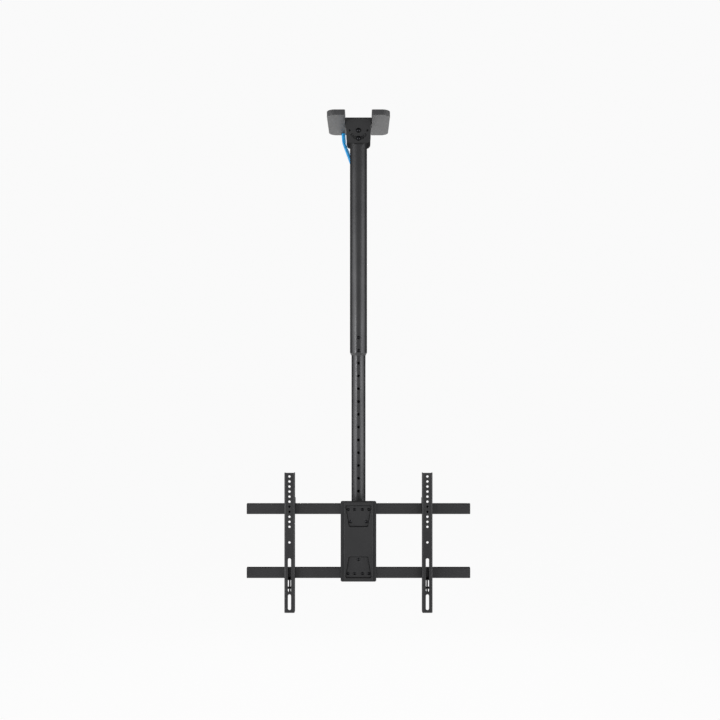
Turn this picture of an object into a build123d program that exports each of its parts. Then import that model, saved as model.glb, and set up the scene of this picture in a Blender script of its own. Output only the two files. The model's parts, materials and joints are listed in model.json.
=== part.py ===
from build123d import *
import os

# A ceiling mount for a flat screen: a telescopic pole on a swinging ceiling bracket, with a
# swivelling and tilting head whose two arms slide on rails.
# Millimetres. The origin is on the ceiling, on the pole's axis. +Z is up and the screen faces -Y.

# Clearances
run_gap = 0.05
slide_gap = 0.1
fit_gap = 0.3

# Ceiling plate, folded from one sheet
sheet_t = 4.0
bend_r = 3.0
ear_drop = 77.0
ear_half_top = 38.0
ear_half_low = 35.5
ear_corner_r = 12.0
ear_relief = 3.0
plate_half_x = 89.0
plate_half_y = 92.0
plate_inner_r = 4.0
lag_x = 63.0
lag_y = 65.0
lag_slot_w = 9.0
lag_slot_len = 26.0
feed_notch = 16.0

# Swing of the pole between the ears
pivot_drop = 40.0
lock_radius = 23.6
swing_limit = 55.0
swing_spare = 1.5
guide_hole_x = 26.0
guide_hole_r = 3.5

# Covers
cover_wall = 2.0
cover_gap = 0.5
cover_rim = 0.5
cover_drop = 16.0
cover_half_y = 100.0
cover_corner_r = 24.0
cover_inner_r = 4.0
cover_edge_r = 1.5
cover_rib_y = 46.0
cover_rib_t = 2.0

# Pole
outer_od = 51.0
outer_wall = 2.0
pole_top_drop = 24.0
pole_length = 674.0
saddle_crown = 2.3
saddle_half_x = 13.0
saddle_length = 48.0
saddle_corner_r = 5.0
collar_cone = 7.5
collar_tip_wall = 1.0
collar_sleeve = 54.0

# Height adjustment
inner_od = 42.0
inner_wall = 2.0
inner_length = 602.0
height_pitch = 38.0
height_hole_r = 4.2
height_nut_r = 4.8
height_tip = 1.5
height_head_ratio = 1.4
height_washer_ratio = 1.6
height_washer_t = 0.8
low_bolt_up = 7.5
inner_above_bolt = 22.5
bush_lip = 4.0
bush_length = 10.0

# Cable
cable_r = 6.0
cable_run_x = -12.0
cable_feed_x = -47.0
cable_feed_y = 86.0
cable_hole_r = 7.5
cable_bend_drop = 38.0
cable_turn_drop = 152.0
cable_joint_drop = 210.0
cable_bends = [46.0, 64.0]
entry_drop = 129.0
entry_height = 40.0
entry_width = 20.0
entry_side = 138.0
outlet_height = 34.0
outlet_width = 16.0
outlet_above_plug = 5.0

# Swivel under the inner tube
plug_depth = 32.0
plug_flange_t = 4.0
swivel_bolt_grip = 20.0
nylon_t = 2.0
steel_washer_t = 2.5

# Yoke and tilt
yoke_t = 4.0
yoke_half_in = 28.0
yoke_back = 24.0
yoke_front = 33.0
yoke_pivot_r = 14.0
yoke_lock_r = 11.0
tilt_y = -28.0
tilt_above_head = 55.0
tilt_lock_radius = 30.0
tilt_down = 20.0
tilt_up = 5.0
tilt_spare = 1.5
tilt_washer_t = 1.0
tilt_washer_r = 11.0

# Screen head
head_below_mast = 16.0
head_back_y = -59.0
head_t = 3.0
head_half = 52.0
head_height = 235.0
head_corner_r = 5.0
panel_half = 42.0
panel_t = 6.0
panel_margin = 2.0
panel_corner_r = 4.0
panel_edge_r = 1.0
return_depth = 15.0
return_half = 70.0
return_corner_r = 6.0
bracket_t = 3.0
bracket_top_gap = 1.5
bracket_low_gap = 10.5
flange_back_y = -13.0
flange_below = 20.0
flange_corner_r = 10.0
recess_wide = 37.2
recess_narrow = 27.2
recess_height = 59.4
recess_margin = 13.3
recess_corner_r = 3.0
recess_taper = 17.0
clamp_t = 1.5
clamp_pin_x = 23.0
upper_pin_down = 46.5
lower_pin_up = 51.8

# Rails
rail_margin = 24.0
rail_half = 326.5
rail_height = 30.0
rail_depth = 16.0
rail_t = 2.0
rail_lip = 7.0
rail_bend_r = 1.0
rail_bolt_x = (11.5, 30.0)
rail_head_ratio = 1.45

# Arms
arm_spacing = 400.0
arm_width = 30.0
arm_t = 2.0
arm_stand = 17.0
arm_bend_r = 1.5
arm_end_r = 1.5
arm_top_margin = 10.5
arm_low_margin = 12.3
screen_top = 191.3
screen_height = 383.0
screen_hole_r = 3.4
screen_hole_pitch = 14.6
screen_hole_count = 11
screen_slot_w = 9.2
long_slot_top = 45.7
low_slot_length = 45.9
slot_gap = 6.1
hook_t = 4.0
hook_rise = 16.0
hook_grip = 10.0
hook_corner_r = 5.0
bridge_drop = 23.8
bridge_t = 3.0
latch_t = 2.0
latch_front = 3.0
latch_grip = 8.0
latch_corner_r = 1.2
arm_screw_length = 34.5

# Threads: shank radius, width across flats, head height and nut height
m12 = {"r": 6.0, "flats": 18.0, "head": 7.5}
m8 = {"r": 4.0, "flats": 13.0, "head": 5.3, "nut": 6.8}
m6 = {"r": 3.0, "flats": 10.0, "head": 3.3, "nut": 5.2}
m5 = {"r": 2.5, "flats": 8.0, "head": 2.8}
hex_corner_ratio = 1.12
hex_chamfer_ratio = 0.15
button_ratio = 1.8
dome_ratio = 1.25
socket_ratio = 1.35
socket_depth_ratio = 0.6
washer_ratio = 2.1
ear_washer_ratio = 1.75
ear_head_ratio = 1.6
washer_t = 1.6
tip_past_nut = 1.5

# Places worked out from the sizes above
outer_r = outer_od / 2
outer_bore_r = outer_r - outer_wall
inner_r = inner_od / 2
inner_bore_r = inner_r - inner_wall
saddle_face = outer_r + saddle_crown
ear_in = saddle_face + slide_gap
ear_out = ear_in + sheet_t
wing_in = ear_half_top + ear_relief
cover_in = ear_half_top + cover_gap
cover_out = plate_half_x + cover_gap + cover_wall
plate_corner_r = cover_corner_r - cover_wall - cover_gap
pivot_z = -pivot_drop
lock_z = pivot_z - lock_radius
pole_top = -pole_top_drop
pole_end = pole_top - pole_length
low_bolt_z = pole_end + low_bolt_up
high_bolt_z = low_bolt_z + height_pitch
mast_top = high_bolt_z + inner_above_bolt
mast_end = mast_top - inner_length
plug_top = mast_end + plug_depth
outlet_low = plug_top + outlet_above_plug
outlet_top = outlet_low + outlet_height
height_hole_room = high_bolt_z - (outlet_top + 2 * height_hole_r)
height_hole_count = int(height_hole_room // height_pitch) + 1
plug_low = mast_end - plug_flange_t
yoke_top_face = plug_low - slide_gap - nylon_t
yoke_low_face = yoke_top_face - yoke_t
swivel_seat = yoke_low_face - nylon_t - slide_gap
head_z = mast_end - head_below_mast
tilt_z = head_z + tilt_above_head
tilt_lock_z = tilt_z - tilt_lock_radius
yoke_half_out = yoke_half_in + yoke_t
flange_in = yoke_half_out + tilt_washer_t + 2 * slide_gap
flange_out = flange_in + bracket_t
head_front_y = head_back_y - head_t
clamp_front_y = head_front_y - clamp_t
upper_recess_z = head_z + head_height / 2 - recess_margin
lower_recess_z = head_z - head_height / 2 + recess_margin
hollow_half = head_height / 2 - recess_margin - recess_height - 2 * head_t
rail_offset = head_height / 2 - rail_margin
between_rails = rail_offset - rail_height / 2
rail_web_back_y = head_back_y + rail_t
rail_back_y = head_back_y + rail_depth
arm_front_y = head_back_y - arm_stand
arm_back_y = head_back_y - fit_gap
arm_x = arm_spacing / 2
arm_top = head_z + screen_top + arm_top_margin
arm_low = head_z + screen_top - screen_height - arm_low_margin
rail_low_z = head_z - rail_offset - rail_height / 2
bridge_z = rail_low_z - bridge_drop
arm_web_y = arm_front_y + arm_t
arm_screw_y = (arm_web_y + arm_back_y) / 2
latch_top = rail_low_z - fit_gap
latch_low = latch_top - latch_t
cable_end_z = outlet_low
cable_joint_z = -cable_joint_drop


def facing_screen(piece, x, y, z):
    """Turns a piece drawn along +Z so that its top looks to -Y, and puts it at a place."""
    return Pos(x, y, z) * Rot(90, 0, 0) * piece


def facing_back(piece, x, y, z):
    """Turns a piece drawn along +Z so that its top looks to +Y, and puts it at a place."""
    return Pos(x, y, z) * Rot(-90, 0, 0) * piece


def facing_side(piece, side, x, y, z):
    """Turns a piece drawn along +Z so that its top looks to +X or -X, and puts it at a place."""
    return Pos(x, y, z) * Rot(0, 90 * side, 0) * piece


def rod(radius, height):
    """A cylinder that stands on the XY plane."""
    return Cylinder(radius, height, align=(Align.CENTER, Align.CENTER, Align.MIN))


def cross_hole(radius, x, z, reach):
    """A cutter along Y through both walls."""
    return facing_screen(Cylinder(radius, 2 * reach), x, 0, z)


def front_hole(radius, z, reach):
    """A cutter along Y through the front wall of a tube."""
    return facing_screen(rod(radius, reach), 0, 0, z)


def hexagon(flats):
    return RegularPolygon(flats / 2, 6, major_radius=False)


def hex_bolt(size, length):
    """Head above the XY plane, shank below it."""
    flat_r = size["flats"] / 2
    crown = rod(hex_corner_ratio * flat_r, size["head"])
    crown = chamfer(crown.edges().group_by(Axis.Z)[-1], hex_chamfer_ratio * flat_r)
    head = extrude(hexagon(size["flats"]), size["head"]) & crown
    return head + Pos(0, 0, -length) * rod(size["r"], length)


def button_screw(size, length, head_ratio=button_ratio):
    """Domed head with a hexagon socket above the XY plane, shank below it."""
    head_r = head_ratio * size["r"]
    rim = Line((0, 0), (head_r, 0))
    dome = RadiusArc((head_r, 0), (0, size["head"]), -dome_ratio * head_r)
    axis = Line((0, size["head"]), (0, 0))
    head = revolve(Plane.XZ * make_face(rim + dome + axis), Axis.Z)
    socket_depth = socket_depth_ratio * size["head"]
    socket = extrude(hexagon(socket_ratio * size["r"]), size["head"])
    socket = Pos(0, 0, size["head"] - socket_depth) * socket
    return head - socket + Pos(0, 0, -length) * rod(size["r"], length)


def nut(size):
    """Hexagon nut on the XY plane."""
    return extrude(hexagon(size["flats"]) - Circle(size["r"] + run_gap), size["nut"])


def washer(inner, outer, thickness):
    """Flat ring on the XY plane."""
    return extrude(Circle(outer) - Circle(inner + run_gap), thickness)


def folded_channel(half_width, depth, thickness, inside_r, length):
    """Folded U: web up on the XY plane, legs down, run along Y, centred."""
    outer = Rectangle(2 * half_width, depth, align=(Align.CENTER, Align.MAX))
    outer = fillet(outer.vertices().group_by(Axis.Y)[-1], inside_r + thickness)
    inner_width = 2 * (half_width - thickness)
    inner = Pos(0, -thickness) * Rectangle(inner_width, depth, align=(Align.CENTER, Align.MAX))
    inner = fillet(inner.vertices().group_by(Axis.Y)[-1], inside_r)
    return extrude(Plane.XZ * (outer - inner), length / 2, both=True)


def tube(radius, bore_r, top, low):
    return Pos(0, 0, low) * (rod(radius, top - low) - rod(bore_r, top - low))


def turned(points):
    """Solid of revolution about the pole's axis, from (radius, height) points."""
    return revolve(Plane.XZ * make_face(Polyline(points, close=True)), Axis.Z)


def arc_slot(centre, radius, low_angle, high_angle, width):
    return SlotArc(CenterArc(centre, radius, low_angle, high_angle - low_angle), width)


# Ceiling bracket
def ear_outline():
    outline = Polygon(
        (-ear_half_top, 0),
        (ear_half_top, 0),
        (ear_half_low, -ear_drop),
        (-ear_half_low, -ear_drop),
        align=None,
    )
    outline = fillet(outline.vertices().group_by(Axis.Y)[0], ear_corner_r)
    swing = swing_limit + swing_spare
    slot = arc_slot((0, pivot_z), lock_radius, 270 - swing, 270 + swing, 2 * (m8["r"] + fit_gap))
    holes = Pos(0, pivot_z) * Circle(m8["r"] + run_gap)
    for side in (-1, 1):
        holes += Pos(side * guide_hole_x, pivot_z) * Circle(guide_hole_r)
    return outline - slot - holes


def ceiling_wing():
    """Wing on the +X side, with its lag slots and a corner left open for a cable."""
    width = plate_half_x - wing_in
    outline = Pos(wing_in + width / 2, 0) * Rectangle(width, 2 * plate_half_y)
    corners = outline.vertices().group_by(Axis.X)
    outline = fillet(corners[-1], plate_corner_r)
    outline = fillet(outline.vertices().group_by(Axis.X)[0], plate_inner_r)
    notch = Pos(wing_in, plate_half_y) * Rectangle(2 * feed_notch, 2 * feed_notch)
    outline -= fillet(notch.vertices(), plate_inner_r)
    for side in (-1, 1):
        outline -= Pos(lag_x, side * lag_y) * SlotOverall(lag_slot_len, lag_slot_w)
    return extrude(outline, -sheet_t)


def ceiling_plate():
    ears = Rot(0, 0, 90) * folded_channel(ear_out, ear_drop, sheet_t, bend_r, 2 * ear_half_top)
    ears &= extrude(Plane.XZ * ear_outline(), 2 * ear_out, both=True)
    bridge = extrude(Rectangle(2 * (wing_in + plate_inner_r), 2 * (ear_in - bend_r)), -sheet_t)
    wing = ceiling_wing()
    return ears + bridge + wing + mirror(wing, about=Plane.YZ)


def cover():
    """Cover on the +X side, open to the ceiling."""
    width = cover_out - cover_in
    outline = Pos(cover_in + width / 2, 0) * Rectangle(width, 2 * cover_half_y)
    outline = fillet(outline.vertices().group_by(Axis.X)[-1], cover_corner_r)
    outline = fillet(outline.vertices().group_by(Axis.X)[0], cover_inner_r)
    body = Pos(0, 0, -cover_drop) * extrude(outline, cover_drop - cover_rim)
    body = fillet(body.edges().group_by(Axis.Z)[0], cover_edge_r)
    floor = -cover_drop + cover_wall
    cavity = Pos(0, 0, floor) * extrude(offset(outline, -cover_wall), cover_drop)
    body -= cavity
    rib_height = -sheet_t - slide_gap - floor
    for side in (-1, 1):
        rib = Pos(cover_in + width / 2, side * cover_rib_y, floor) * Box(
            width - 2 * cover_wall, cover_rib_t, rib_height, align=(Align.CENTER, Align.CENTER, Align.MIN)
        )
        body += rib
    passage = 2 * (ear_in - bend_r + cover_gap)
    body -= Pos(cover_in, 0, -sheet_t - cover_gap) * Box(
        4 * cover_wall, passage, cover_drop, align=(Align.CENTER, Align.CENTER, Align.MIN)
    )
    return body


def cover_with_cable_hole():
    hole = Pos(cable_feed_x, cable_feed_y, -2 * cover_drop) * rod(cable_hole_r, 2 * cover_drop)
    return mirror(cover(), about=Plane.YZ) - hole


def ear_washers(size, seat):
    ring = washer(size["r"], ear_washer_ratio * size["r"], washer_t)
    front = facing_screen(ring, 0, -seat, 0)
    rear = facing_back(ring, 0, seat, 0)
    return front + rear


def pivot_bolt():
    length = 2 * (ear_out + washer_t) + m8["nut"] + tip_past_nut
    screw = button_screw(m8, length, ear_head_ratio)
    return facing_screen(screw, 0, -ear_out - washer_t, pivot_z)


def pivot_nut():
    return facing_back(nut(m8), 0, ear_out + washer_t, pivot_z)


def pivot_washers():
    return Pos(0, 0, pivot_z) * ear_washers(m8, ear_out)


# Pole
def cable_entry():
    outwards = Vector(1, 0, 0).rotate(Axis.Z, entry_side)
    plane = Plane(origin=(0, 0, -entry_drop), x_dir=(0, 0, 1), z_dir=outwards)
    return extrude(plane * SlotOverall(entry_height, entry_width), 2 * outer_r)


def outer_tube():
    body = tube(outer_r, outer_bore_r, pole_top, pole_end)
    body -= cross_hole(m8["r"] + run_gap, 0, pivot_z, outer_od)
    body -= cross_hole(m8["r"] + run_gap, 0, lock_z, outer_od)
    for z in (low_bolt_z, high_bolt_z):
        body -= front_hole(height_nut_r + run_gap, z, outer_od)
    return body - cable_entry()


def saddle():
    """Saddle behind the tube, flat to the ear and hollow to the tube."""
    outline = RectangleRounded(2 * saddle_half_x, saddle_length, saddle_corner_r)
    outline = Pos(0, pole_top - saddle_length / 2) * outline
    outline -= Pos(0, pivot_z) * Circle(m8["r"] + run_gap)
    outline -= Pos(0, lock_z) * Circle(m8["r"] + run_gap)
    block = extrude(Plane.XZ * outline, -saddle_face)
    return block - Pos(0, 0, pole_end) * rod(outer_r + run_gap, pole_length)


def lock_seat():
    return ear_out + slide_gap


def lock_bolt():
    length = 2 * (lock_seat() + washer_t) + m8["nut"] + tip_past_nut
    screw = button_screw(m8, length, ear_head_ratio)
    return facing_screen(screw, 0, -lock_seat() - washer_t, lock_z)


def lock_nut():
    return facing_back(nut(m8), 0, lock_seat() + washer_t, lock_z)


def lock_washers():
    return Pos(0, 0, lock_z) * ear_washers(m8, lock_seat())


def end_collar():
    """Bush in the tube's lower end: a sleeve inside it and a cone below it."""
    bore = inner_r + slide_gap
    sleeve = outer_bore_r - run_gap
    cone_low = pole_end - collar_cone
    body = turned(
        [
            (bore, pole_end + collar_sleeve),
            (sleeve, pole_end + collar_sleeve),
            (sleeve, pole_end),
            (outer_r, pole_end),
            (bore + collar_tip_wall, cone_low),
            (bore, cone_low),
        ]
    )
    for z in (low_bolt_z, high_bolt_z):
        body -= front_hole(height_nut_r + run_gap, z, outer_od)
    return body


def at_height_bolts(piece):
    """Copies of a piece at both height bolts."""
    return Pos(0, 0, low_bolt_z) * piece + Pos(0, 0, high_bolt_z) * piece


def height_washers():
    """Washers with a hollow face that seats on the round tube."""
    ring = washer(m6["r"], height_washer_ratio * m6["r"], outer_r + height_washer_t)
    return at_height_bolts(facing_screen(ring, 0, 0, 0) - Cylinder(outer_r + run_gap, outer_od))


def height_bolts():
    """Screws through the front of the pole, with their tips in two holes of the inner tube."""
    seat = outer_r + height_washer_t
    screw = button_screw(m6, seat - inner_bore_r + height_tip, height_head_ratio)
    return at_height_bolts(facing_screen(screw, 0, -seat, 0))


def height_nuts():
    """Round nuts pressed into the front wall of the pole."""
    front = (outer_r**2 - height_nut_r**2) ** 0.5
    back = inner_r + fit_gap
    ring = washer(m6["r"], height_nut_r, front - back)
    return at_height_bolts(facing_screen(ring, 0, -back, 0))


# Cable: out of the left cover, down and forward into the tube, then along the pole
cable_points = [
    (cable_feed_x, cable_feed_y, 0),
    (cable_feed_x, cable_feed_y, -cable_bend_drop),
    (cable_run_x, 0, -cable_turn_drop),
    (cable_run_x, 0, cable_joint_z),
]


def cable_lead():
    path = FilletPolyline(*cable_points, radius=cable_bends)
    section = Plane(origin=path @ 0, z_dir=path % 0) * Circle(cable_r)
    print("cable lead length", round(path.length), "bend radii", cable_bends)
    return sweep(section, path=path)


def cable_run():
    return Pos(cable_run_x, 0, cable_end_z) * rod(cable_r, cable_joint_z - cable_end_z)


# Inner tube and swivel
def inner_tube():
    body = tube(inner_r, inner_bore_r, mast_top, mast_end)
    for step in range(height_hole_count):
        body -= front_hole(height_hole_r, high_bolt_z - step * height_pitch, outer_od)
    outlet = Pos(0, (outlet_top + outlet_low) / 2) * Rot(0, 0, 90) * SlotOverall(outlet_height, outlet_width)
    return body - extrude(Plane.XZ * outlet, -outer_od)


def guide_bush():
    """Ring over the upper end of the inner tube."""
    outside = outer_bore_r - slide_gap
    inside = inner_r + run_gap
    return turned(
        [
            (inner_bore_r, mast_top),
            (inner_bore_r, mast_top + bush_lip),
            (outside, mast_top + bush_lip),
            (outside, mast_top - bush_length),
            (inside, mast_top - bush_length),
            (inside, mast_top),
        ]
    )


def swivel_plug():
    """Plug in the lower end of the inner tube, with the swivel bolt's thread."""
    thread = m12["r"] + run_gap
    body = inner_bore_r - run_gap
    return turned(
        [
            (thread, plug_top),
            (body, plug_top),
            (body, mast_end),
            (inner_r, mast_end),
            (inner_r, plug_low),
            (thread, plug_low),
        ]
    )


def swivel_bolt():
    seat = swivel_seat - steel_washer_t
    return Pos(0, 0, seat) * Rot(180, 0, 0) * hex_bolt(m12, plug_low + swivel_bolt_grip - seat)


def swivel_steel_washer():
    return Pos(0, 0, swivel_seat - steel_washer_t) * washer(m12["r"], washer_ratio * m12["r"], steel_washer_t)


def swivel_washers():
    ring = washer(m12["r"], inner_r, nylon_t)
    return Pos(0, 0, yoke_top_face) * ring + Pos(0, 0, yoke_low_face - nylon_t) * ring


# Yoke
def yoke_outline():
    """Side of the yoke: round at the tilt bolt, straight at the base."""
    base_height = bend_r + 2 * yoke_t
    base = Pos((yoke_back - yoke_front) / 2, yoke_low_face + base_height / 2) * Rectangle(
        yoke_back + yoke_front, base_height
    )
    pivot = Pos(tilt_y, tilt_z) * Circle(yoke_pivot_r)
    lock = Pos(tilt_y, tilt_lock_z) * Circle(yoke_lock_r)
    outline = make_hull(base.edges() + pivot.edges() + lock.edges())
    return outline


def yoke():
    height = tilt_z + yoke_pivot_r - yoke_low_face
    channel = folded_channel(yoke_half_out, height, yoke_t, bend_r, 4 * outer_od)
    body = Pos(0, 0, yoke_low_face) * Rot(0, 180, 0) * channel
    body &= extrude(Plane.YZ * yoke_outline(), 2 * yoke_half_out, both=True)
    body -= Pos(0, 0, yoke_low_face) * rod(m12["r"] + run_gap, 2 * yoke_t)
    for z in (tilt_z, tilt_lock_z):
        body -= facing_side(Cylinder(m8["r"] + run_gap, 4 * yoke_half_out), 1, 0, tilt_y, z)
    return body


def on_both_sides(piece, offset_x, z):
    """Copies of a piece drawn along +Z, looking outwards at both cheeks of the yoke."""
    right = facing_side(piece, 1, offset_x, tilt_y, z)
    left = facing_side(piece, -1, -offset_x, tilt_y, z)
    return right + left


def tilt_bolt_pair(z):
    seat = flange_out + slide_gap + washer_t
    length = seat - yoke_half_in + m8["nut"] + tip_past_nut
    return on_both_sides(hex_bolt(m8, length), seat, z)


def tilt_nut_pair(z):
    return on_both_sides(nut(m8), yoke_half_in - m8["nut"], z)


def tilt_washers():
    """Steel washers under the heads, and nylon washers between the yoke and the flanges."""
    steel = washer(m8["r"], washer_ratio * m8["r"], washer_t)
    nylon = washer(m8["r"], tilt_washer_r, tilt_washer_t)
    rings = on_both_sides(nylon, yoke_half_out + slide_gap, tilt_z)
    for z in (tilt_z, tilt_lock_z):
        rings += on_both_sides(steel, flange_out + slide_gap, z)
    return rings


# Screen head
def bracket_outline():
    """Side of the tilt bracket, seen along X: its web, and its flanges with pivot hole and arc slot."""
    top = head_z + between_rails - bracket_top_gap
    low = tilt_lock_z - flange_below
    depth = flange_back_y - head_back_y
    outline = Pos(head_back_y + depth / 2, (top + low) / 2) * Rectangle(depth, top - low)
    outline = fillet(outline.vertices().group_by(Axis.X)[-1], flange_corner_r)
    web_height = top - head_z + between_rails - bracket_low_gap
    outline += Pos(head_back_y + bracket_t / 2, top - web_height / 2) * Rectangle(bracket_t, web_height)
    start = 270 - tilt_down - tilt_spare
    end = 270 + tilt_up + tilt_spare
    slot = arc_slot((tilt_y, tilt_z), tilt_lock_radius, start, end, 2 * (m8["r"] + fit_gap))
    return outline - slot - Pos(tilt_y, tilt_z) * Circle(m8["r"] + run_gap)


def rail_bolt_places():
    heights = (head_z - rail_offset, head_z + rail_offset)
    return [(side * x, z) for z in heights for x in rail_bolt_x for side in (-1, 1)]


def clamp_pin_places():
    upper_z = upper_recess_z - upper_pin_down
    lower_z = lower_recess_z + lower_pin_up
    return [(-clamp_pin_x, upper_z), (clamp_pin_x, upper_z), (0, lower_z)]


def screw_holes():
    cutters = [cross_hole(m6["r"] + run_gap, x, z, 4 * outer_od) for x, z in rail_bolt_places()]
    cutters += [cross_hole(m5["r"] + run_gap, x, z, 4 * outer_od) for x, z in clamp_pin_places()]
    return cutters


def tilt_bracket():
    """Folded U behind the plate that hangs on the yoke's tilt bolts."""
    channel = folded_channel(flange_out, flange_back_y - head_back_y, bracket_t, bend_r, 2 * head_height)
    body = Pos(0, head_back_y, tilt_z) * Rot(90, 0, 0) * channel
    body &= extrude(Plane.YZ * bracket_outline(), 2 * flange_out, both=True)
    return body - screw_holes()


def tilt_plate():
    """Pressed face plate: a raised panel with a recess over each rail, and long edges folded back."""
    channel = folded_channel(head_half, return_depth, head_t, bend_r, 2 * return_half)
    returns = Pos(0, head_front_y, head_z) * Rot(90, 0, 0) * channel
    side = Pos(head_front_y, head_z) * Rectangle(2 * return_depth, 2 * return_half)
    side = fillet(side.vertices().group_by(Axis.X)[-1], return_corner_r)
    returns &= extrude(Plane.YZ * side, 2 * head_half, both=True)
    web = Pos(0, head_z) * RectangleRounded(2 * head_half, head_height, head_corner_r)
    face = Pos(0, head_z) * RectangleRounded(2 * panel_half, head_height - 2 * panel_margin, panel_corner_r)
    panel = Pos(0, head_front_y, 0) * extrude(Plane.XZ * face, panel_t)
    panel = fillet(panel.edges().group_by(Axis.Y)[0], panel_edge_r)
    recess = extrude(Plane.XZ * recess_outline(0), panel_t, taper=-recess_taper)
    panel -= [in_upper_recess(recess), in_lower_recess(recess)]
    body = Pos(0, head_back_y, 0) * extrude(Plane.XZ * web, head_t) + returns + panel
    hollow = Pos(0, head_z) * RectangleRounded(2 * (panel_half - head_t), 2 * hollow_half, panel_corner_r)
    body -= Pos(0, head_back_y, 0) * extrude(Plane.XZ * hollow, panel_t)
    return body - screw_holes()


def recess_outline(inset):
    """Trapezoid floor of the upper recess, wide at the top, with its top edge at the origin."""
    outline = Polygon(
        (inset - recess_narrow, inset - recess_height),
        (recess_narrow - inset, inset - recess_height),
        (recess_wide - inset, -inset),
        (inset - recess_wide, -inset),
        align=None,
    )
    return fillet(outline.vertices(), recess_corner_r)


def in_upper_recess(form):
    return Pos(0, head_front_y, upper_recess_z) * form


def in_lower_recess(form):
    return Pos(0, head_front_y, lower_recess_z) * mirror(form, about=Plane.XY)


def clamp():
    """Thin plate on the floor of a recess, under the heads of the rail's bolts."""
    return extrude(Plane.XZ * recess_outline(fit_gap), clamp_t)


def upper_clamp():
    return in_upper_recess(clamp()) - screw_holes()


def lower_clamp():
    return in_lower_recess(clamp()) - screw_holes()


def rail(z):
    """Lipped C channel, open to the back."""
    wall = Rectangle(rail_depth, rail_height)
    wall = fillet(wall.vertices(), rail_bend_r + rail_t)
    room = fillet(Rectangle(rail_depth - 2 * rail_t, rail_height - 2 * rail_t).vertices(), rail_bend_r)
    mouth = Pos(rail_depth / 2, 0) * Rectangle(3 * rail_t, rail_height - 2 * rail_lip)
    section = Pos(head_back_y + rail_depth / 2, z) * (wall - room - mouth)
    return extrude(Plane.YZ * section, rail_half, both=True) - screw_holes()


def upper_rail():
    return rail(head_z + rail_offset)


def lower_rail():
    return rail(head_z - rail_offset)


def rail_bolts():
    length = rail_web_back_y - clamp_front_y + m6["nut"] + tip_past_nut
    screw = button_screw(m6, length, rail_head_ratio)
    return [facing_screen(screw, x, clamp_front_y, z) for x, z in rail_bolt_places()]


def rail_nuts():
    return [facing_back(nut(m6), x, rail_web_back_y, z) for x, z in rail_bolt_places()]


def clamp_screws():
    screw = button_screw(m5, head_back_y + bracket_t - clamp_front_y + tip_past_nut)
    return [facing_screen(screw, x, clamp_front_y, z) for x, z in clamp_pin_places()]


# Arms
def arm_side_outline():
    """Side of an arm's flanges, with the hook that hangs on the upper rail."""
    bar_depth = arm_back_y - arm_front_y
    bar = Pos(arm_front_y + bar_depth / 2, (arm_top + arm_low) / 2) * Rectangle(bar_depth, arm_top - arm_low)
    bar = fillet(bar.vertices().group_by(Axis.X)[-1], hook_corner_r)
    rail_top = head_z + rail_offset + rail_height / 2
    hook_low = rail_top - hook_grip
    hook_top = rail_top + fit_gap + hook_rise
    hook_in = rail_back_y + fit_gap
    reach = hook_in + hook_t - arm_front_y
    block = Pos(arm_front_y + reach / 2, (hook_top + hook_low) / 2) * Rectangle(reach, hook_top - hook_low)
    block = fillet(block.vertices().group_by(Axis.X)[-1], hook_t / 2 - slide_gap)
    seat_depth = hook_in - arm_back_y
    seat_height = rail_top + fit_gap - hook_low
    seat = Pos(arm_back_y + seat_depth / 2, hook_low + seat_height / 2) * Rectangle(seat_depth, seat_height)
    return bar + (block - seat)


def arm_face_outline():
    """Front of an arm at x 0: screen holes above, slots below."""
    outline = Pos(0, (arm_top + arm_low) / 2) * RectangleRounded(arm_width, arm_top - arm_low, arm_end_r)
    for step in range(screen_hole_count):
        outline -= Pos(0, head_z + screen_top - step * screen_hole_pitch) * Circle(screen_hole_r)
    outline -= Pos(0, head_z) * Circle(screen_hole_r)
    low_slot_end = screen_height - screen_top + screen_slot_w / 2
    low_slot_top = low_slot_end - low_slot_length
    long_slot_end = low_slot_top - slot_gap
    for top, low in ((long_slot_top, long_slot_end), (low_slot_top, low_slot_end)):
        slot = Rot(0, 0, 90) * SlotOverall(low - top, screen_slot_w)
        outline -= Pos(0, head_z - (top + low) / 2) * slot
    return outline


def arm():
    depth = rail_back_y + fit_gap + hook_t - arm_front_y
    channel = folded_channel(arm_width / 2, depth, arm_t, arm_bend_r, 2 * (arm_top - arm_low))
    body = Pos(0, arm_front_y, (arm_top + arm_low) / 2) * Rot(90, 0, 0) * channel
    body &= extrude(Plane.YZ * arm_side_outline(), arm_width, both=True)
    return body & extrude(Plane.XZ * arm_face_outline(), 2 * abs(arm_front_y), both=True)


def lock_bridge():
    """Tab across an arm's channel that carries the lock screw."""
    outline = Pos(0, arm_screw_y) * Rectangle(arm_width - 2 * arm_t, arm_back_y - arm_web_y)
    outline = fillet(outline.vertices().group_by(Axis.Y)[0], arm_bend_r + fit_gap)
    outline -= Pos(0, arm_screw_y) * Circle(m5["r"] + run_gap)
    return Pos(0, 0, bridge_z) * extrude(outline, -bridge_t)


def lock_latch():
    """Hook under and behind the lower rail, held up by the lock screw."""
    width = arm_width - 2 * (arm_t + fit_gap)
    front = arm_web_y + latch_front
    back = rail_back_y + fit_gap + latch_t
    top = rail_low_z + latch_grip
    outline = Pos(front, latch_low) * Rectangle(back - front, top - latch_low, align=Align.MIN)
    outline -= Pos(back - latch_t, latch_top) * Rectangle(back, top, align=(Align.MAX, Align.MIN))
    outline = fillet(outline.vertices().group_by(Axis.X)[-1], latch_corner_r)
    return extrude(Plane.YZ * outline, width / 2, both=True)


def lock_screw():
    """Vertical screw in the bridge, with its tip under the latch."""
    seat = latch_low - run_gap - arm_screw_length
    return Pos(0, arm_screw_y, seat) * Rot(180, 0, 0) * hex_bolt(m5, arm_screw_length)


def write(name, shape):
    solids = shape if isinstance(shape, list) else [shape]
    pieces = [solid for item in solids for solid in item.solids()]
    export_step(pieces[0] if len(pieces) == 1 else Compound(children=pieces), f"parts/{name}.step")


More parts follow.
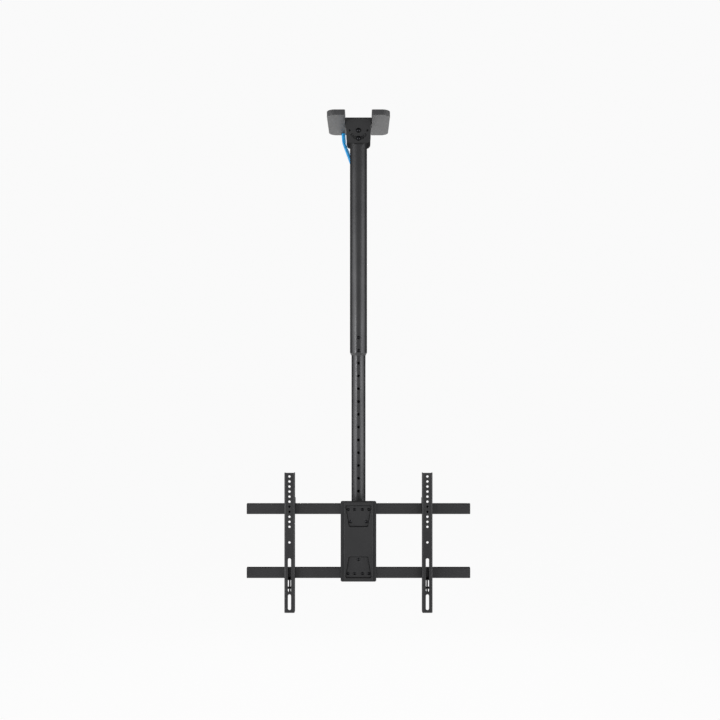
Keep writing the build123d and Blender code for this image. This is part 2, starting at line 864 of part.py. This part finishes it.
nodes = {
    "ceiling_plate": ceiling_plate(),
    "cover_left": cover_with_cable_hole(),
    "cover_right": cover(),
    "pivot_bolt": pivot_bolt(),
    "pivot_nut": pivot_nut(),
    "pivot_washers": pivot_washers(),
    "outer_tube": outer_tube(),
    "saddle_rear": saddle(),
    "saddle_front": mirror(saddle(), about=Plane.XZ),
    "lock_bolt": lock_bolt(),
    "lock_nut": lock_nut(),
    "lock_washers": lock_washers(),
    "end_collar": end_collar(),
    "height_bolts": height_bolts(),
    "height_nuts": height_nuts(),
    "height_washers": height_washers(),
    "cable_lead": cable_lead(),
    "cable_run": cable_run(),
    "inner_tube": inner_tube(),
    "guide_bush": guide_bush(),
    "swivel_plug": swivel_plug(),
    "swivel_bolt": swivel_bolt(),
    "swivel_steel_washer": swivel_steel_washer(),
    "swivel_washers": swivel_washers(),
    "yoke": yoke(),
    "tilt_pivot_bolts": tilt_bolt_pair(tilt_z),
    "tilt_pivot_nuts": tilt_nut_pair(tilt_z),
    "tilt_lock_bolts": tilt_bolt_pair(tilt_lock_z),
    "tilt_lock_nuts": tilt_nut_pair(tilt_lock_z),
    "tilt_washers": tilt_washers(),
    "tilt_bracket": tilt_bracket(),
    "tilt_plate": tilt_plate(),
    "upper_clamp": upper_clamp(),
    "lower_clamp": lower_clamp(),
    "upper_rail": upper_rail(),
    "lower_rail": lower_rail(),
    "rail_bolts": rail_bolts(),
    "rail_nuts": rail_nuts(),
    "clamp_screws": clamp_screws(),
}
for side, x in (("left", -arm_x), ("right", arm_x)):
    nodes[f"arm_{side}"] = Pos(x, 0, 0) * arm()
    nodes[f"lock_bridge_{side}"] = Pos(x, 0, 0) * lock_bridge()
    nodes[f"lock_latch_{side}"] = Pos(x, 0, 0) * lock_latch()
    nodes[f"lock_screw_{side}"] = Pos(x, 0, 0) * lock_screw()

os.makedirs("parts", exist_ok=True)
for name, shape in nodes.items():
    write(name, shape)
print("head centre", head_z, "tilt axis", tilt_y, tilt_z, "height holes", height_hole_count)
print("travel", (height_hole_count - 2) * height_pitch, "arms", arm_low, arm_top)
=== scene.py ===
import json
import math

import bpy
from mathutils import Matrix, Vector

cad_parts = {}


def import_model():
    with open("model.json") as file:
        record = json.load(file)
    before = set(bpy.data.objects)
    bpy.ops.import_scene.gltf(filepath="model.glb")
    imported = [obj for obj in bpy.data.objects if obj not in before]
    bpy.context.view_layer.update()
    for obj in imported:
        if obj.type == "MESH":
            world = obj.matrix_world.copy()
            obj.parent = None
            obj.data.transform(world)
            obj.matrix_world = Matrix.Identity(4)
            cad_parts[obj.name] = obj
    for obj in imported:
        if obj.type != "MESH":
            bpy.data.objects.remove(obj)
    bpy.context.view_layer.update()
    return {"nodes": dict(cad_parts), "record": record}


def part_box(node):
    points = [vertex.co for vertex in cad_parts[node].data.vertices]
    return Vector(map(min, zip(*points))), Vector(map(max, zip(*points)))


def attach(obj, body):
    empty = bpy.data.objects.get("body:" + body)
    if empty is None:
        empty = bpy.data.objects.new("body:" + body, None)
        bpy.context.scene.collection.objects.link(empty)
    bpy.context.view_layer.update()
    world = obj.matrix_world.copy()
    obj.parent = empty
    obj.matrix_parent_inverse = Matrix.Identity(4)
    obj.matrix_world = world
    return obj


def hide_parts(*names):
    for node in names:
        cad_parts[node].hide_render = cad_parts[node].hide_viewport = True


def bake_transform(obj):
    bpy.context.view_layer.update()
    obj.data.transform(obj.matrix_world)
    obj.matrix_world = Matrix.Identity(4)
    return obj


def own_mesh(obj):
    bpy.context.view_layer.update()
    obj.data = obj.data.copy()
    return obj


# A black telescopic ceiling mount for a flat screen, in metres, in the frame of its CAD model:
# the origin is on the ceiling, on the pole's axis, +Z is up and the screen faces -Y.

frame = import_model()

# Camera, level with the lower end of the pole
camera_distance = 2.27
camera_side = 0.0045
camera_height = -0.719
lens_mm = 37.85

# Stage
floor_drop = 2.4
floor_half = 60.0
floor_colour = (0.85, 0.85, 0.84, 1)
floor_rough = 0.9
floor_tone = 0.975
floor_own_light = 0.975
background_tone = 0.955
ambient_light = 0.15

# Lamps: places and sizes in metres, power in watts
lamp_aim = (0.0, 0.0, -0.75)
side_lamp_x = 2.07
side_lamp_y = -1.01
side_lamp_z = -0.9
side_lamp_size = (2.0, 2.6)
side_lamp_power = 82
glint_lamp_x = 1.57
glint_lamp_y = -1.75
glint_lamp_z = -0.7
glint_lamp_size = (0.2, 0.2)
glint_left_power = 24
glint_right_power = 9
back_lamp_place = (0, 2.6, -0.9)
back_lamp_size = (3.6, 2.0)
back_lamp_power = 40
high_lamp_place = (0, 2.0, 1.8)
high_lamp_size = (3.0, 1.4)
high_lamp_power = 70

# The middle of a noise, where most of its values lie
noise_low = 0.3
noise_high = 0.7

# Cable, by the same route as its solids, with one more point where it is straight in the pole
cable_r = 0.006
cable_route = [
    (-0.047, 0.086, 0.0),
    (-0.047, 0.086, -0.038),
    (-0.038, 0.0638, -0.0675),
    (-0.0258, 0.0339, -0.107),
    (-0.012, 0.0, -0.152),
    (-0.012, 0.0, -0.205),
    (-0.012, 0.0, -0.210),
]
cable_steps = 24
cable_roundness = 8

# Lock screws: a hexagon head below, a threaded shank above
screw_r = 0.0025
screw_flats = 0.008
screw_head = 0.0028
screw_corner_r = 0.00448
screw_chamfer = 0.0006
hexagon_turn = math.radians(60)
thread_pitch = 0.0008
thread_depth = 0.00042
thread_columns = 48
rows_per_turn = 6


# Materials
class Look:
    """A material with its main shader and a short way to add nodes."""

    def __init__(self, name):
        self.material = bpy.data.materials.new(name)
        self.material.use_nodes = True
        self.tree = self.material.node_tree
        self.shader = self.tree.nodes["Principled BSDF"]
        self.place = self.add("ShaderNodeTexCoord").outputs["Object"]

    def add(self, kind, **settings):
        node = self.tree.nodes.new(kind)
        for key, value in settings.items():
            setattr(node, key, value)
        return node

    def link(self, start, end):
        self.tree.links.new(start, end)

    def set(self, **values):
        """Values that are the same all over the surface."""
        for key, value in values.items():
            self.shader.inputs[key.replace("_", " ")].default_value = value

    def noise(self, scale, detail=2.0, stretch=None):
        """Noise with features of about 1 / scale metres, drawn out along an axis if asked."""
        texture = self.add("ShaderNodeTexNoise")
        texture.inputs["Scale"].default_value = scale
        texture.inputs["Detail"].default_value = detail
        place = self.place
        if stretch:
            mapping = self.add("ShaderNodeMapping")
            mapping.inputs["Scale"].default_value = stretch
            self.link(place, mapping.inputs["Vector"])
            place = mapping.outputs["Vector"]
        self.link(place, texture.inputs["Vector"])
        return texture.outputs["Fac"]

    def spread(self, source, low, high):
        """The middle of a noise, spread between two values."""
        node = self.add("ShaderNodeMapRange")
        node.inputs["From Min"].default_value = noise_low
        node.inputs["From Max"].default_value = noise_high
        node.inputs["To Min"].default_value = low
        node.inputs["To Max"].default_value = high
        self.link(source, node.inputs["Value"])
        return node.outputs["Result"]

    def colours(self, source, low, high):
        """The middle of a noise as a blend of two colours."""
        ramp = self.add("ShaderNodeValToRGB")
        ramp.color_ramp.elements[0].position = noise_low
        ramp.color_ramp.elements[0].color = (*low, 1)
        ramp.color_ramp.elements[1].position = noise_high
        ramp.color_ramp.elements[1].color = (*high, 1)
        self.link(source, ramp.inputs["Fac"])
        self.link(ramp.outputs["Color"], self.shader.inputs["Base Color"])

    def rough(self, source, low, high):
        self.link(self.spread(source, low, high), self.shader.inputs["Roughness"])

    def relief(self, source, depth, edge_r=None):
        """Bump of a given depth in metres, over edges that are slightly rounded if asked."""
        bump = self.add("ShaderNodeBump")
        bump.inputs["Distance"].default_value = depth
        self.link(source, bump.inputs["Height"])
        if edge_r:
            edge = self.add("ShaderNodeBevel", samples=4)
            edge.inputs["Radius"].default_value = edge_r
            self.link(edge.outputs["Normal"], bump.inputs["Normal"])
        self.link(bump.outputs["Normal"], self.shader.inputs["Normal"])


def powder_coat():
    """Satin black metallic coat with a fine orange peel, darker where it is seen at a low angle."""
    look = Look("black_powder_coat")
    look.colours(look.noise(scale=9.0), low=(0.030, 0.030, 0.031), high=(0.037, 0.037, 0.038))
    look.rough(look.noise(scale=240.0), low=0.30, high=0.38)
    look.relief(look.noise(scale=750.0), depth=0.00006, edge_r=0.0007)
    look.set(Metallic=0.6, Specular_IOR_Level=0.0, Specular_Tint=(0, 0, 0, 1))
    return look.material


def cover_plastic():
    """Black moulded plastic with a fine eroded grain."""
    look = Look("grained_plastic")
    look.colours(look.noise(scale=60.0), low=(0.007, 0.007, 0.008), high=(0.012, 0.012, 0.013))
    look.rough(look.noise(scale=400.0), low=0.55, high=0.63)
    look.relief(look.noise(scale=2200.0, detail=4.0), depth=0.00007, edge_r=0.0008)
    look.set(Specular_IOR_Level=0.5)
    return look.material


def nylon():
    """Black nylon of the collar, the bush and the friction washers, with a slight sheen."""
    look = Look("black_nylon")
    look.colours(look.noise(scale=80.0), low=(0.010, 0.010, 0.011), high=(0.016, 0.016, 0.017))
    look.rough(look.noise(scale=300.0), low=0.34, high=0.46)
    look.relief(look.noise(scale=1200.0), depth=0.00004, edge_r=0.0004)
    look.set(Specular_IOR_Level=0.45)
    return look.material


def black_zinc():
    """Black plated steel of the fasteners, with brighter rubbed spots."""
    look = Look("black_zinc")
    plating = look.noise(scale=520.0, detail=3.0)
    look.colours(plating, low=(0.010, 0.010, 0.011), high=(0.020, 0.020, 0.022))
    look.rough(look.noise(scale=900.0), low=0.10, high=0.20)
    look.relief(look.noise(scale=1800.0), depth=0.00004, edge_r=0.0004)
    look.set(Metallic=1.0, Specular_Tint=(0.2, 0.2, 0.2, 1))
    return look.material


def turned_steel():
    """Bare steel with lathe lines round the pole's axis."""
    look = Look("turned_steel")
    lines = look.noise(scale=40.0, stretch=(1, 1, 60))
    look.colours(lines, low=(0.36, 0.36, 0.37), high=(0.5, 0.5, 0.51))
    look.rough(look.noise(scale=60.0, stretch=(1, 1, 40)), low=0.22, high=0.36)
    look.relief(look.noise(scale=90.0, stretch=(1, 1, 40)), depth=0.00003, edge_r=0.0004)
    look.set(Metallic=1.0)
    return look.material


def cable_jacket():
    """Blue extruded jacket, drawn out along its length."""
    look = Look("blue_jacket")
    streaks = look.noise(scale=120.0, stretch=(1, 1, 0.15))
    look.colours(streaks, low=(0.012, 0.213, 0.462), high=(0.018, 0.247, 0.528))
    look.rough(look.noise(scale=500.0, stretch=(1, 1, 0.3)), low=0.32, high=0.42)
    look.relief(look.noise(scale=700.0, stretch=(1, 1, 0.2)), depth=0.00005)
    look.set(Specular_IOR_Level=0.45)
    return look.material


looks = {
    "black_steel": powder_coat(),
    "cover_plastic": cover_plastic(),
    "black_nylon": nylon(),
    "black_fastener": black_zinc(),
    "bare_steel": turned_steel(),
    "blue_cable": cable_jacket(),
}


def dress_solids():
    """Gives each CAD node the material of its slot in the record."""
    for row in frame["record"]["subparts"]:
        mesh = frame["nodes"][row["node"]].data
        mesh.materials.clear()
        mesh.materials.append(looks[row["material_slot"]])


# Pieces
def add_piece(name, mesh, slot, smooth=True):
    """A new mesh piece with the material of its slot."""
    piece = bpy.data.objects.new(name, mesh)
    bpy.context.scene.collection.objects.link(piece)
    mesh.materials.clear()
    mesh.materials.append(looks[slot])
    for face in mesh.polygons:
        face.use_smooth = smooth
    return piece


def cable_mesh(name, points):
    """Tube of the cable's diameter on one smooth spline."""
    curve = bpy.data.curves.new(name, "CURVE")
    curve.dimensions = "3D"
    curve.resolution_u = cable_steps
    curve.bevel_depth = cable_r
    curve.bevel_resolution = cable_roundness
    curve.use_fill_caps = True
    spline = curve.splines.new("NURBS")
    spline.points.add(len(points) - 1)
    for control, point in zip(spline.points, points):
        control.co = (*point, 1)
    spline.order_u = 3
    spline.use_endpoint_u = True
    guide = bpy.data.objects.new(name + "_guide", curve)
    mesh = bpy.data.meshes.new_from_object(guide)
    mesh.name = name
    bpy.data.objects.remove(guide)
    bpy.data.curves.remove(curve)
    return mesh


def cable_in_view():
    """Upper cable, one fixed bent tube in the place of its solid."""
    lead = add_piece("cable_in_view", cable_mesh("cable_in_view", cable_route), "blue_cable")
    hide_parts("cable_lead")
    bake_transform(lead)


def cable_in_pole():
    """Cable inside the pole, drawn in as the inner tube goes up."""
    low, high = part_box("cable_run")
    middle = (low + high) / 2
    top = Vector((middle.x, middle.y, high.z))
    bottom = Vector((middle.x, middle.y, low.z))
    run = add_piece("cable_in_pole", cable_mesh("cable_in_pole", [top, middle, bottom]), "blue_cable")
    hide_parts("cable_run")
    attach(run, "pole")
    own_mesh(run)


def screw_rows(low, high):
    """Heights of the rings of a lock screw, with the size that its section may not pass."""
    seat = low + screw_head
    rows = [
        (low, screw_corner_r - screw_chamfer),
        (low + screw_chamfer, screw_corner_r),
        (seat, screw_corner_r),
    ]
    count = round((high - seat) / thread_pitch * rows_per_turn)
    for step in range(count + 1):
        rows.append((seat + (high - seat) * step / count, screw_r))
    return rows


def screw_section(z, limit, angle, seat, high):
    """Radius of a lock screw: a hexagon in the head, a thread that runs out at both ends of the shank."""
    if limit > screw_r:
        side = angle % hexagon_turn - hexagon_turn / 2
        return min(limit, screw_flats / 2 / math.cos(side))
    turn = (z - seat) / thread_pitch - angle / (2 * math.pi)
    groove = 1 - abs(2 * (turn % 1) - 1)
    fade = min(1.0, (z - seat) / thread_pitch, (high - z) / thread_pitch)
    return screw_r - thread_depth * groove * max(fade, 0.0)


def ring_faces(ring_count):
    """Faces between neighbouring rings of points, with a cap at each end."""
    faces = []
    for ring in range(ring_count - 1):
        start = ring * thread_columns
        above = start + thread_columns
        for column in range(thread_columns):
            after = (column + 1) % thread_columns
            faces.append((start + column, start + after, above + after, above + column))
    faces.append(tuple(reversed(range(thread_columns))))
    faces.append(tuple(range((ring_count - 1) * thread_columns, ring_count * thread_columns)))
    return faces


def lock_screw(side):
    """Threaded screw on an arm, in the place of its plain solid."""
    node = f"lock_screw_{side}"
    low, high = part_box(node)
    middle = (low + high) / 2
    rows = screw_rows(low.z, high.z)
    points = []
    for z, limit in rows:
        for column in range(thread_columns):
            angle = 2 * math.pi * column / thread_columns
            radius = screw_section(z, limit, angle, low.z + screw_head, high.z)
            points.append((middle.x + radius * math.cos(angle), middle.y + radius * math.sin(angle), z))
    mesh = bpy.data.meshes.new(f"threaded_screw_{side}")
    mesh.from_pydata(points, [], ring_faces(len(rows)))
    screw = add_piece(f"threaded_screw_{side}", mesh, "black_fastener", smooth=False)
    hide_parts(node)
    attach(screw, f"arm_{side}")


# Stage and light
def seen_rays(tree):
    """1 for rays that show the background: camera, glossy and transmission rays."""
    path = tree.nodes.new("ShaderNodeLightPath")
    total = path.outputs["Is Camera Ray"]
    for name in ("Is Glossy Ray", "Is Transmission Ray"):
        either = tree.nodes.new("ShaderNodeMath")
        either.operation = "MAXIMUM"
        tree.links.new(total, either.inputs[0])
        tree.links.new(path.outputs[name], either.inputs[1])
        total = either.outputs["Value"]
    return total


def pale_floor():
    """Matt floor that shows mostly its own even light, and a share of the lamps' light and shade."""
    look = Look("pale_floor")
    look.set(Base_Color=floor_colour, Roughness=floor_rough)
    own_light = look.add("ShaderNodeEmission")
    own_light.inputs["Color"].default_value = (floor_tone, floor_tone, floor_tone, 1)
    share = look.add("ShaderNodeMath", operation="MULTIPLY")
    share.inputs[1].default_value = floor_own_light
    look.link(seen_rays(look.tree), share.inputs[0])
    mix = look.add("ShaderNodeMixShader")
    look.link(share.outputs["Value"], mix.inputs["Fac"])
    look.link(look.shader.outputs["BSDF"], mix.inputs[1])
    look.link(own_light.outputs["Emission"], mix.inputs[2])
    look.link(mix.outputs["Shader"], look.tree.nodes["Material Output"].inputs["Surface"])
    return look.material


def floor():
    corners = [(-1, -1), (1, -1), (1, 1), (-1, 1)]
    points = [(x * floor_half, y * floor_half, -floor_drop) for x, y in corners]
    mesh = bpy.data.meshes.new("floor")
    mesh.from_pydata(points, [], [(0, 1, 2, 3)])
    mesh.materials.append(pale_floor())
    plane = bpy.data.objects.new("floor", mesh)
    bpy.context.scene.collection.objects.link(plane)


def world():
    """White for the rays that show it, and a low light from all round for the rest."""
    scene = bpy.context.scene
    scene.world = bpy.data.worlds.new("studio")
    scene.world.use_nodes = True
    tree = scene.world.node_tree
    background = tree.nodes["Background"]
    background.inputs["Color"].default_value = (1, 1, 1, 1)
    strength = tree.nodes.new("ShaderNodeMapRange")
    strength.inputs["To Min"].default_value = ambient_light
    strength.inputs["To Max"].default_value = background_tone
    tree.links.new(seen_rays(tree), strength.inputs["Value"])
    tree.links.new(strength.outputs["Result"], background.inputs["Strength"])


def softbox(name, place, size, power):
    """Rectangular lamp that faces the middle of the object."""
    light = bpy.data.lights.new(name, "AREA")
    light.shape = "RECTANGLE"
    light.size, light.size_y = size
    light.energy = power
    lamp = bpy.data.objects.new(name, light)
    lamp.location = place
    lamp.rotation_euler = (Vector(lamp_aim) - Vector(place)).to_track_quat("-Z", "Y").to_euler()
    bpy.context.scene.collection.objects.link(lamp)


def lights():
    """Tall boxes at both sides, small ones in front for glints, and two behind for undersides and tops."""
    softbox("side_left", (-side_lamp_x, side_lamp_y, side_lamp_z), side_lamp_size, side_lamp_power)
    softbox("side_right", (side_lamp_x, side_lamp_y, side_lamp_z), side_lamp_size, side_lamp_power)
    softbox("front_left", (-glint_lamp_x, glint_lamp_y, glint_lamp_z), glint_lamp_size, glint_left_power)
    softbox("front_right", (glint_lamp_x, glint_lamp_y, glint_lamp_z), glint_lamp_size, glint_right_power)
    softbox("back", back_lamp_place, back_lamp_size, back_lamp_power)
    softbox("back_high", high_lamp_place, high_lamp_size, high_lamp_power)


def camera():
    """Level camera in front of the screen's side."""
    data = bpy.data.cameras.new("camera")
    data.lens = lens_mm
    eye = bpy.data.objects.new("camera", data)
    eye.location = (camera_side, -camera_distance, camera_height)
    eye.rotation_euler = (math.radians(90), 0, 0)
    bpy.context.scene.collection.objects.link(eye)
    bpy.context.scene.camera = eye


bpy.context.scene.view_settings.view_transform = "Standard"
camera()
dress_solids()
cable_in_view()
cable_in_pole()
lock_screw("left")
lock_screw("right")
floor()
world()
lights()
